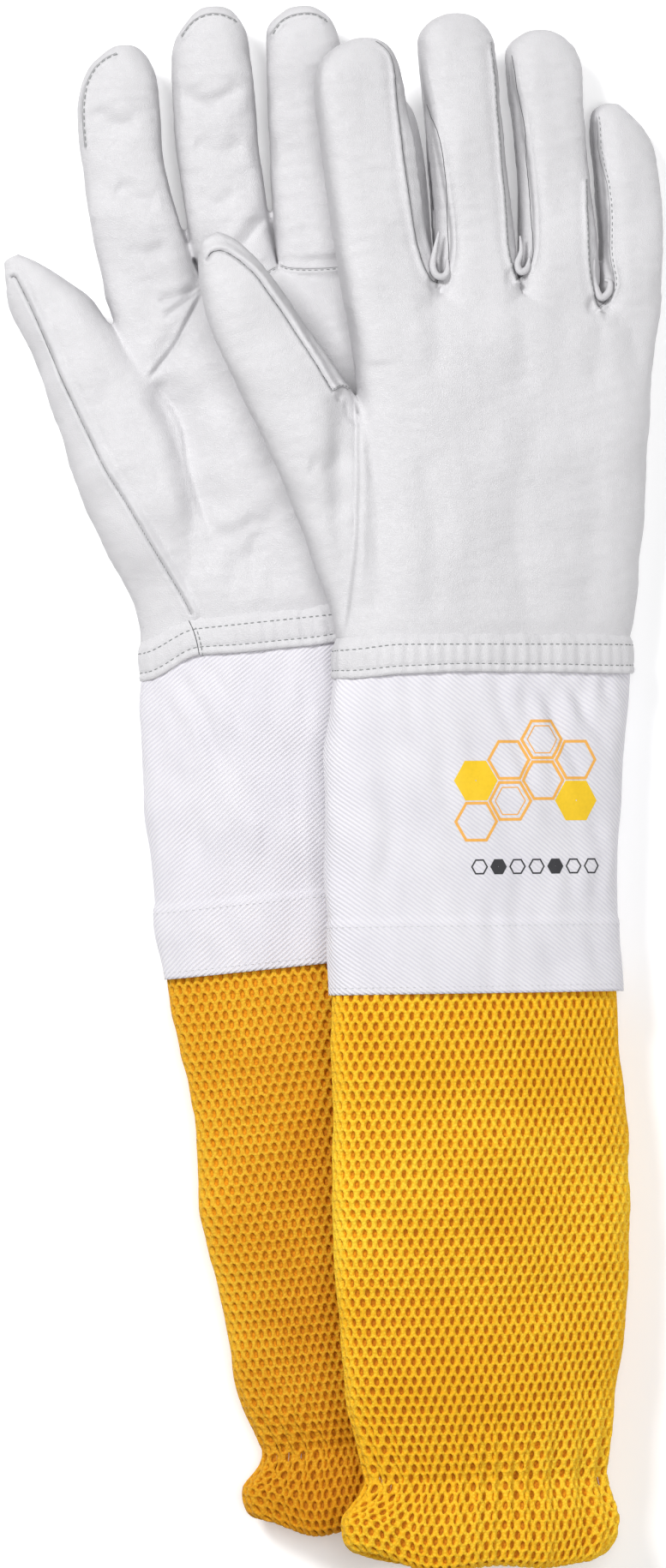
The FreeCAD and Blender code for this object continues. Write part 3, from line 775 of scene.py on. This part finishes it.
def thread_tube(points, normals, radius, sides=6, sink=0.0):
    """A thin tube along points, its own normals keeping it from twisting."""
    points = points - normals * sink
    tangent = unit(np.gradient(points, axis=0))
    across = unit(np.cross(tangent, normals))
    up = np.cross(across, tangent)
    radius = np.reshape(radius, (-1, 1))
    angles = 2 * math.pi * np.arange(sides) / sides
    return loft(np.stack([points + radius * (math.cos(a) * across + math.sin(a) * up) for a in angles], axis=1))


STITCH = ((-0.5, 0.25), (-0.3, 0.9), (0.3, 0.9), (0.5, 0.25))  # share of its length, share of its radius


def stitches(name, glove, part, points, normals, pitch, length, radius, material, slot="leather",
             raise_by=0.05):
    """A row of stitches, small grains of thread, along points on a surface."""
    rows = resample(np.hstack([points, normals]), pitch)
    spots, ups = rows[:, :3], unit(rows[:, 3:])
    runs = unit(np.gradient(spots, axis=0))
    points, faces = [], []
    for spot, up, run in zip(spots + ups * raise_by, ups, runs):
        across = unit(np.cross(run, up))
        round_it = [math.cos(a) * across + math.sin(a) * up for a in 2 * math.pi * np.arange(5) / 5]
        add_part(points, faces, loft([[spot + run * length * share + radius * size * way for way in round_it]
                                      for share, size in STITCH]))
    settle(make(name, points, faces, glove), glove, material, part)


# Pitch, length, radius and material of the stitches of each look.
SEAM_THREADS = {"dots": (2.0, 1.15, 0.19, "thread"), "rim": (2.3, 1.6, 0.32, "thread")}
SEAM_RADIUS, HIDDEN_RADIUS, SEAM_SINK = 0.15, 0.09, 0.03


def seam_pieces(glove):
    """The dark line of painted shadow in each seam's gap, and the stitches of each seam."""
    for number, (part, face, low, look, line) in enumerate(SEAMS[glove]):
        line = resample(catmull(line, 6), 0.7)
        run = unit(np.gradient(line, axis=0))
        right = np.column_stack([run[:, 1], -run[:, 0]])
        points, normals = on_skin(glove, line + right * -low * 0.3, face)
        if len(points) > 4:
            radius = SEAM_RADIUS if look == "line" else HIDDEN_RADIUS
            tube = thread_tube(points, normals, radius, sink=SEAM_SINK)
            piece = make(f"{glove}_{part}_seam_{number}", *tube, glove)
            settle(piece, glove, "seam_line", part)
        if look in SEAM_THREADS:
            points, normals = on_skin(glove, line[1:-1] + right[1:-1] * low * 0.25, face)
            if len(points) > 4:
                stitches(f"{glove}_{part}_stitches_{number}", glove, part, points, normals, *SEAM_THREADS[look])
    face, line = THUMB_SEAM[glove]
    points, normals = on_skin(glove, resample(catmull(line, 6), 0.7), face)
    piece = make(f"{glove}_thumb_seam", *thread_tube(points, normals, SEAM_RADIUS, sink=SEAM_SINK), glove)
    settle(piece, glove, "seam_line", "thumb")
    stitches(f"{glove}_thumb_stitches", glove, "thumb", points[4:], normals[4:], 2.6, 0.9, 0.2, "thread")


def roll_pieces(glove):
    """The small curls of leather at the roots of the fingers."""
    for number, rows in enumerate(ROLLS):
        x, y, radius = catmull(rows, 10).T
        points = np.column_stack([x, y, ROLL_Z - 0.05 * (y - y.min())])
        tube = thread_tube(points, np.tile((0.0, 0.0, 1.0), (len(points), 1)), radius, sides=16)
        piece = make(f"{glove}_hand_roll_{number}", *tube, glove)
        # the rolls are darkened a little all over through the seam attribute
        paint(piece, "seam", np.full(len(piece.data.vertices), 0.12))
        settle(piece, glove, "leather", "hand")


# -------------------- sleeve surfaces
HALF_WIDE, HALF_THICK = 49.0, 11.4
SLEEVE_POINTS = 720


class Sleeve:
    """The surface of the cuff and sleeve: u is turns round it, v its place along the path, in mm."""

    def __init__(self, glove, rows, power, seed):
        self.glove, self.seed = glove, seed
        self.rows = catmull(rows, 10)
        self.run = run_along(self.rows[:, [0, 2]] * (1, 0.5))
        x, z = ring_points(HALF_WIDE, HALF_THICK, power, SLEEVE_POINTS)
        self.unit_x, self.unit_z = np.append(x, x[0]) / HALF_WIDE, np.append(z, z[0]) / HALF_THICK
        self.length = self.run[-1]
        self.girth = 2 * math.pi * math.sqrt((HALF_WIDE ** 2 + HALF_THICK ** 2) / 2) * 0.98

    def base(self, u, v):
        """The plain surface, before its folds."""
        y, middle, wide, thick = (np.interp(v, self.run, column) for column in self.rows.T)
        at = (u % 1.0) * SLEEVE_POINTS
        x, z = (np.interp(at, np.arange(SLEEVE_POINTS + 1), side) for side in (self.unit_x, self.unit_z))
        return np.column_stack([x * wide + middle, y, z * thick])

    def push(self, p, lift, power):
        """Moves points out by lift, the less so the nearer they are to the flat sides."""
        out = np.column_stack([p[:, 0] / HALF_WIDE, np.zeros(len(p)), p[:, 2] / HALF_THICK])
        out[:, 2] = np.sign(out[:, 2]) * np.abs(out[:, 2]) ** power
        return p + unit(out) * lift[:, None]

    def at(self, u, v, lift):
        """Points on the surface, lifted along its normal, and the normals."""
        step = 0.6
        du = self.shape(u + step / self.girth, v) - self.shape(u - step / self.girth, v)
        dv = self.shape(u, np.minimum(v + step, self.length)) - self.shape(u, np.maximum(v - step, 0))
        normal = unit(np.cross(du, dv))
        return self.shape(u, v) + normal * np.asarray(lift)[..., None], normal


# How far each glove's sleeve draws in at its right side, or at its left side, at places along it.
DRAWN = {
    "right": (1, ((-400, 4.5), (-283, 4.5), (-262, 1.6), (-240, 1.6), (-205, 3.0), (-150, 3.2),
        (-105, 2.4), (-90, 3.4), (-50, 2.6), (-30, 2.0), (0, 0), (50, 0))),
    "left": (-1, ((-400, 7.6), (-283, 7.6), (-262, 6.4), (-240, 5.8), (-226, 5.6), (-190, 5.2),
        (-150, 3.8), (-120, 1.4), (-106, 0), (-90, 0), (50, 0))),
}


def draw_in(glove, p):
    """Moves one side of a sleeve in, the more the nearer it is to that side."""
    side, table = DRAWN[glove]
    table = np.array(table)
    p[:, 0] -= side * np.interp(p[:, 1], table[:, 0], table[:, 1]) * smooth(p[:, 0] * side, -12, 48)
    return p


CUFF_ROWS = ((3.5, 0, 48.6, 10.2), (-1, 0, 49.2, 10.8), (-10, -0.9, 49.8, 11.6), (-30, -2.4, 50.8, 12.6),
             (-62, -3, 49.8, 12.4), (-81, -3, 49.4, 11.6), (-92, -3, 49.6, 11.6), (-105, -2.8, 49.4, 11.6))
# Soft folds of the twill on the side that shows: depth, half width, line in plan.
CUFF_FOLDS = {
    "right": ((0.9, 2.2, ((14, -2), (22, -20), (34, -40))), (0.9, 2.0, ((24, -2), (32, -16), (44, -30))),
        (0.7, 2.6, ((0, -3), (6, -22), (16, -46))), (0.7, 2.4, ((36, -3), (42, -12), (48, -20))),
        (0.6, 3.2, ((-40, -30), (-34, -52), (-38, -76))), (0.6, 3.0, ((34, -44), (40, -60), (36, -80))),
        (0.4, 3.4, ((-20, -20), (-14, -50), (-18, -80)))),
    "left": ((0.9, 2.4, ((-40, -2), (-32, -20), (-24, -44))), (0.8, 2.2, ((-30, -2), (-24, -14),
        (-16, -30))), (0.7, 3.0, ((-44, -30), (-38, -54), (-42, -78))), (0.6, 3.0, ((-20, -40),
        (-14, -58), (-18, -80)))),
}
MESH_ROWS = ((-101, -2.8, 48.2, 10.6), (-112, -2.6, 48.8, 11.4), (-150, -2.0, 50.4, 12.6),
    (-180, -1.8, 51.0, 12.8), (-205, -2.2, 49.6, 12.4), (-226, -2.8, 47.2, 11.9),
    (-248, -2.6, 43.6, 11.0), (-257, -2.2, 41.4, 9.8), (-261, -2, 40.6, 9.0), (-265, -2.2, 42.0, 9.6),
    (-270, -2.8, 44.6, 11.0), (-277, -3.4, 47.2, 12.0), (-283, -3.6, 47.0, 11.8),
    (-286.6, -3.6, 45.8, 10.8), (-288.4, -3.5, 43.6, 8.8), (-287.2, -3.3, 41.4, 6.8),
    (-283, -3.1, 40.4, 5.8), (-276, -2.8, 39.6, 5.4), (-266, -2.3, 38.2, 5.0))


class Cuff(Sleeve):
    def shape(self, u, v):
        p = self.base(u, v)
        y = p[:, 1]
        flat = np.column_stack([u % 1.0 * self.girth, y, p[:, 2] * 2])
        pull = 0.55 * ripple(p, self.seed, 30, stretch=(1.2, 0.8, 1))
        gather = np.exp(y / 16) + np.exp(-np.abs(y + 82) / 12) * 0.3
        pleats = np.cos(2 * math.pi * (u % 1.0) * 23 + 2.2 * ripple(flat, self.seed + 3, 60)) * 0.28
        soft = 0.25 * ripple(p, self.seed + 5, 11, stretch=(1.6, 0.7, 1))
        lift = pull * smooth(y, 0, -14) + pleats * np.clip(gather, 0, 1) * smooth(y, 2, -4)
        lift += soft * smooth(y, 0, -10) + smooth(y, -80.6, -82.2) * 0.55
        p = self.push(p, lift, 1.4)
        up = PLACES[self.glove]["up"]
        for depth, width, line in CUFF_FOLDS[self.glove]:
            side, along = to_line(p[:, :2], np.array(line, float))
            on = smooth(p[:, 2] * up, 0, 6) * smooth(along, 0, 0.25) * (1 - smooth(along, 0.7, 1))
            p[:, 2] += up * depth * on * (0.6 * bell(side, 2 * width, width) - bell(side, 0, width))
        return draw_in(self.glove, p)


class Mesh(Sleeve):
    def shape(self, u, v):
        p = self.base(u, v)
        y = p[:, 1].copy()
        turn = u % 1.0
        near = bell(y, -261, 11)
        soft = 0.7 * ripple(p, self.seed, 38) + 0.25 * ripple(p, self.seed + 1, 15)
        pleat = np.cos(2 * math.pi * turn * 27 + 2.5 * np.cos(2 * math.pi * turn * 4 + self.seed))
        pleat *= (0.35 + 0.45 * near) * smooth(y, -222, -250)
        frill = np.cos(2 * math.pi * turn * 7 + self.seed) * smooth(y, -264, -284) * 0.9
        p = self.push(p, soft * (1 - 0.6 * near) + pleat + frill, 1.3)
        x = (p[:, 0] + 3) / 46
        end = smooth(y, -262, -282)
        p[:, 1] += end * (6.5 * smooth(-x, 0.45, 1.05) + 4.5 * smooth(x, 0.75, 1.1) - 0.8
                          + 0.7 * np.cos(2 * math.pi * turn * 5 + self.seed))
        return draw_in(self.glove, p)


def cloth_tube(name, glove, surface, v0, v1, columns, rows, outer, inner):
    """A closed wall between two lifts of a surface, with a cloth UV in millimetres."""
    us, vs = np.arange(columns) / columns, np.linspace(v0, v1, rows)
    u, v = (g.ravel() for g in np.meshgrid(us, vs))
    top, low = (surface.at(u, v, lift)[0] for lift in (outer, inner))
    count = len(top)
    faces = grid_faces(rows, columns)
    faces += [f[::-1] for f in grid_faces(rows, columns, count)]
    for row, flip in ((0, False), (rows - 1, True)):
        for c in range(columns):
            a, b = row * columns + c, row * columns + (c + 1) % columns
            quad = (a, a + count, b + count, b)
            faces.append(quad[::-1] if flip else quad)
    piece = make(name, np.vstack([top, low]), faces, glove)
    uv = piece.data.uv_layers.new(name="cloth")
    corner = np.zeros(len(piece.data.loops), np.int32)
    piece.data.loops.foreach_get("vertex_index", corner)
    # every face has four corners, and one that crosses the end of the turn carries on past it
    turn = np.tile(u, 2)[corner].reshape(-1, 4)
    turn += (np.ptp(turn, axis=1)[:, None] > 0.5) & (turn < 0.5)
    flat = np.column_stack([turn.ravel() * surface.girth, np.tile(v, 2)[corner]])
    uv.data.foreach_set("uv", flat.ravel().astype(np.float32))
    return piece


# Holes round the net, the height of a row, and half a hole's width and height.
NET_COLUMNS, ROW, HOLE = 66, 3.15, (0.80, 1.50)


def net(name, glove, surface, first, last):
    """The face of the spacer mesh: rows of oval holes, each half a pitch from the next."""
    pitch = surface.girth / NET_COLUMNS
    corners = np.array(((0, 2.05), (0.25, 1.6), (0.5, 1.1), (0.5, 0), (0.5, -1.1), (0.25, -1.6), (0, -2.05),
                        (-0.25, -1.6), (-0.5, -1.1), (-0.5, 0), (-0.5, 1.1), (-0.25, 1.6))) * (pitch, 1)
    angle = np.arctan2(corners[:, 1] / HOLE[1], corners[:, 0] / HOLE[0])
    rim = np.column_stack([HOLE[0] * np.cos(angle), HOLE[1] * np.sin(angle)])
    rings = ((corners, 0.15), (corners * 0.45 + rim * 0.55, 0.12), (rim, -0.4), (rim * 0.95, -1.3))
    cells = [((c + 0.5 * (r % 2)) * pitch, (r + 0.5) * ROW)
             for r in range(first, last) for c in range(NET_COLUMNS)]
    offsets = np.vstack([ring for ring, _ in rings])
    lifts = np.repeat([lift for _, lift in rings], len(corners))
    flat = (np.array(cells)[:, None, :] + offsets).reshape(-1, 2)
    v = np.clip(flat[:, 1], 0, surface.length)
    points, _ = surface.at(flat[:, 0] / surface.girth, v, np.tile(lifts, len(cells)))
    bm = bmesh.new()
    made = [bm.verts.new(p) for p in points]
    for cell in range(len(cells)):
        for f in grid_faces(len(rings), len(corners), cell * len(offsets)):
            bm.faces.new([made[i] for i in (f[0], *f[:0:-1])])
    bmesh.ops.remove_doubles(bm, verts=bm.verts, dist=0.02)
    bm.verts.index_update()
    kept = [tuple(v.co) for v in bm.verts]
    kept_faces = [[v.index for v in f.verts] for f in bm.faces]
    bm.free()
    return settle(make(name, kept, kept_faces, glove), glove, f"net_{glove}", "whole_sleeve")


def ring_line(surface, v):
    """A line right round a sleeve, and its normals."""
    count = 400
    return surface.at(np.arange(count + 1) / count, np.full(count + 1, v), 0.0)


def at_v(surface, y):
    """How far along a sleeve's path a place y is, on the way out."""
    last = int(np.argmin(surface.rows[:, 0])) + 1
    return np.interp(-y, -surface.rows[:last, 0], surface.run[:last])


BAND_STITCHES = (("upper", -83.4), ("lower", -102.8))  # and their y
ELASTIC_ENDS = -259, -266  # y


def sleeve_pieces(glove):
    """The twill cuff, its stitches, the mesh's backing and nets, and the elastic."""
    seed = 21 if glove == "right" else 57
    cuff = Cuff(glove, CUFF_ROWS, 2.9, seed)
    piece = cloth_tube(f"{glove}_twill_cuff_cloth", glove, cuff, 0, cuff.length, 300, 110, 0.0, -0.9)
    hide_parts(f"{glove}_twill_cuff", f"{glove}_twill_join_band")
    settle(piece, glove, "twill", "sleeve")
    for label, y in BAND_STITCHES:
        line, normals = ring_line(cuff, at_v(cuff, y))
        stitches(f"{glove}_band_{label}_stitches", glove, "whole_sleeve", line, normals, 2.2, 0.9, 0.17,
                 "pale_thread", "twill", 0.0)
    mesh = Mesh(glove, MESH_ROWS, 2.8, seed + 9)
    backing = cloth_tube(f"{glove}_mesh_backing", glove, mesh, 0, mesh.length, 240, 170, -1.3, -1.9)
    settle(backing, glove, "backing", "whole_sleeve")
    rows = int(mesh.length / ROW)
    nets = [net(f"{glove}_mesh_net_{k}", glove, mesh, *ends)
            for k, ends in enumerate(((0, rows // 2), (rows // 2, rows)))]
    ends = [at_v(mesh, y) for y in ELASTIC_ENDS]
    elastic = cloth_tube(f"{glove}_elastic_braid", glove, mesh, *ends, 240, 8, -3.1, -4.0)
    settle(elastic, glove, "elastic", "whole_sleeve")
    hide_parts(f"{glove}_elastic_band")
    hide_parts(f"{glove}_mesh_sleeve")
    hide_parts(f"{glove}_mesh_turned_end")


# The section of the leather hem: y, and how far it stands out from the hand.
HEM = ((11.0, -0.5), (9.2, 0.35), (8.0, 0.85), (7.0, 0.7), (6.2, 0.95), (4.5, 1.05), (2.0, 1.0),
    (1.1, 0.88), (0.6, 0.66), (0.1, 0.86), (-0.7, 1.15), (-1.7, 1.0), (-2.2, 0.5), (-2.0, -0.2),
    (-0.5, -0.45))
HEM_WIDE, HEM_THICK, HEM_POINTS = 49.3, 11.3, 360
HEM_DROP = {"left": 6.0, "right": 1.6}  # how far the thumb side hangs lower
HEM_STITCHES = (("upper", 3), ("lower", 8))  # and the row of the section that they are on
HEM_JOINT = ((-32.6, 10.4), (-31.4, 7), (-30.6, 3), (-30.2, -1.4))


def hem_piece(glove):
    """The leather's folded hem: a band that stands proud of the cuff, with a rolled lower lip."""
    rings = []
    turn = np.arange(HEM_POINTS) / HEM_POINTS
    for y, lift in HEM:
        x, z = ring_points(HEM_WIDE + lift, HEM_THICK + lift, 3.0, HEM_POINTS)
        wave = 0.16 * np.cos(2 * math.pi * turn * 54) * (0.4 if y > 7.6 else 1)
        wave += 0.25 * ripple(np.column_stack([x, x * 0 + y * 0.6, z]), 77, 14)
        size = np.hypot(x / 49, z / 11)
        lip = 0.35 * ripple(np.column_stack([x, x * 0, z]), 78, 26) * (y < 4)
        rings.append(np.column_stack([x + wave * x / 49 / size, y + lip, z + wave * z / 11 / size]))
    rings = np.array(rings)
    rings[:, :, 1] -= HEM_DROP[glove] * smooth(-rings[:, :, 0], 30, 49)
    piece = make(f"{glove}_hem_leather", rings.reshape(-1, 3), grid_faces(len(HEM), HEM_POINTS), glove)
    paint(piece, "seam", np.zeros(len(piece.data.vertices)))
    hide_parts(f"{glove}_leather_hem")
    settle(piece, glove, "leather", "hand")
    for label, row in HEM_STITCHES:
        line = np.vstack([rings[row], rings[row][:1]])
        out = unit(line * (1 / 49 ** 2, 0, 1 / 11 ** 2))
        stitches(f"{glove}_hem_{label}_stitches", glove, "hand", line, out, 2.15, 1.35, 0.24, "thread",
                 "leather_hem", 0.03)


def tree_of(name):
    """A piece's surface in its glove's frame, ready for casting on."""
    points, faces = LOCAL[name]
    return BVHTree.FromPolygons([Vector(p) for p in points], faces)


def hem_joint(glove):
    """The seam of the thumb carried on across the hem."""
    face = PLACES[glove]["up"]
    tree = tree_of(f"{glove}_hem_leather")
    hits = [cast(tree, x, y, face)[0] for x, y in resample(catmull(HEM_JOINT, 6), 0.7)]
    spots = np.array([hit for hit in hits if hit is not None])
    ups = np.tile((0.0, 0.0, float(face)), (len(spots), 1))
    # painted shadow in the seam's gap, as on the other seams
    piece = make(f"{glove}_hem_seam", *thread_tube(spots, ups, SEAM_RADIUS), glove)
    settle(piece, glove, "seam_line", "hand")
    stitches(f"{glove}_hem_joint_stitches", glove, "hand", spots + (1.1, 0, 0), ups, 1.9, 1.2, 0.22, "thread",
             "leather_hem", 0.0)


# The printed comb: column and row of each cell, which are full, and which have a second outline.
COMB = ((0, 0), (0, 1), (1, 0), (1, 1), (2, 1), (2, 2), (3, 0), (3, 1))
FULL, DOUBLE = (1, 6), (2, 5)
CELL, INNER_CELL, SMALL_CELL = 7.6, 5.4, 2.9
INK_LIFT = 0.07


def printed(glove):
    """A plain patch of honeycomb printed on the cuff, in place of any mark."""
    tree = tree_of(f"{glove}_twill_cuff_cloth")

    def cell(cx, cy, size, line):
        """One hexagon, full or an outline with a line so wide, laid on the cloth."""
        middle = np.array((cx, cy))
        corner = [middle + size * np.array((math.cos(a), math.sin(a))) for a in np.arange(6) * math.pi / 3]
        edge = [p for a, b in zip(corner, corner[1:] + corner[:1]) for p in np.linspace(a, b, 8)[:-1]]
        scales = np.linspace(1, 0.03, 9) if line is None else (1, 1 - line / 2 / size, 1 - line / size)
        points = [np.array(cast(tree, *(middle + (p - middle) * scale * 0.97), 1)[0]) + (0, 0, INK_LIFT)
                  for scale in scales for p in edge]
        return points, [f[::-1] for f in grid_faces(len(scales), len(edge))]

    comb = [(-7 + column * CELL * 1.5, -50 + (row + 0.5 * (column % 2)) * CELL * math.sqrt(3))
            for column, row in COMB]
    outlines = [(*place, CELL, 1.1) for k, place in enumerate(comb) if k not in FULL]
    for tone, cells in (
            ("print_light", outlines + [(*comb[k], INNER_CELL, 0.45) for k in DOUBLE]),
            ("print_full", [(*comb[k], CELL, None) for k in FULL]),
            ("print_dark", [(-6 + 6.4 * k, -64.5, SMALL_CELL, None if k % 3 == 1 else 0.6) for k in range(7)])):
        points, faces = [], []
        for place in cells:
            add_part(points, faces, cell(*place))
        settle(make(f"{glove}_cuff_{tone}", points, faces, glove), glove, tone, "sleeve")


for glove in ("right", "left"):
    build_skin(glove)
    seam_pieces(glove)
    hem_piece(glove)
    sleeve_pieces(glove)
printed("right")
roll_pieces("right")
hem_joint("left")

# -------------------- floor, light and camera
floor = make("floor", [(-4, -4, 0), (4, -4, 0), (4, 4, 0), (-4, 4, 0)], [(0, 1, 2, 3)])
floor.location.z = -0.0006
floor.data.materials.append(Nodes("floor").finish(
    (0.93, 0.93, 0.935), 0.9, Emission_Color=(1, 1, 1, 1), Emission_Strength=0.22))

for name, place, size, power in (("key", (-0.75, 0.85, 1.45), 0.5, 23), ("fill", (1.3, -0.5, 1.4), 1.4, 6),
                                 ("top", (0.3, 0.1, 2.3), 0.9, 21)):
    light = bpy.data.lights.new(name, "AREA")
    light.shape, light.size, light.energy = "DISK", size, power
    lamp = bpy.data.objects.new(name, light)
    lamp.location = place
    lamp.rotation_euler = (-Vector(place)).to_track_quat("-Z", "Y").to_euler()
    bpy.context.scene.collection.objects.link(lamp)

world = bpy.data.worlds.new("studio")
bpy.context.scene.world = world
world.use_nodes = True
world.node_tree.nodes["Background"].inputs[0].default_value = (1, 1, 1, 1)
world.node_tree.nodes["Background"].inputs[1].default_value = 0.2
bpy.context.scene.view_settings.view_transform = "Standard"

camera_data = bpy.data.cameras.new("camera")
camera = bpy.data.objects.new("camera", camera_data)
bpy.context.scene.collection.objects.link(camera)
bpy.context.scene.camera = camera
DISTANCE, FRAMED = 2.6, 0.506  # from the gloves to the camera, and the height of the view there
camera_data.lens = 36 * DISTANCE / FRAMED
camera.location = (0.0038, -0.0031, DISTANCE + 0.03)
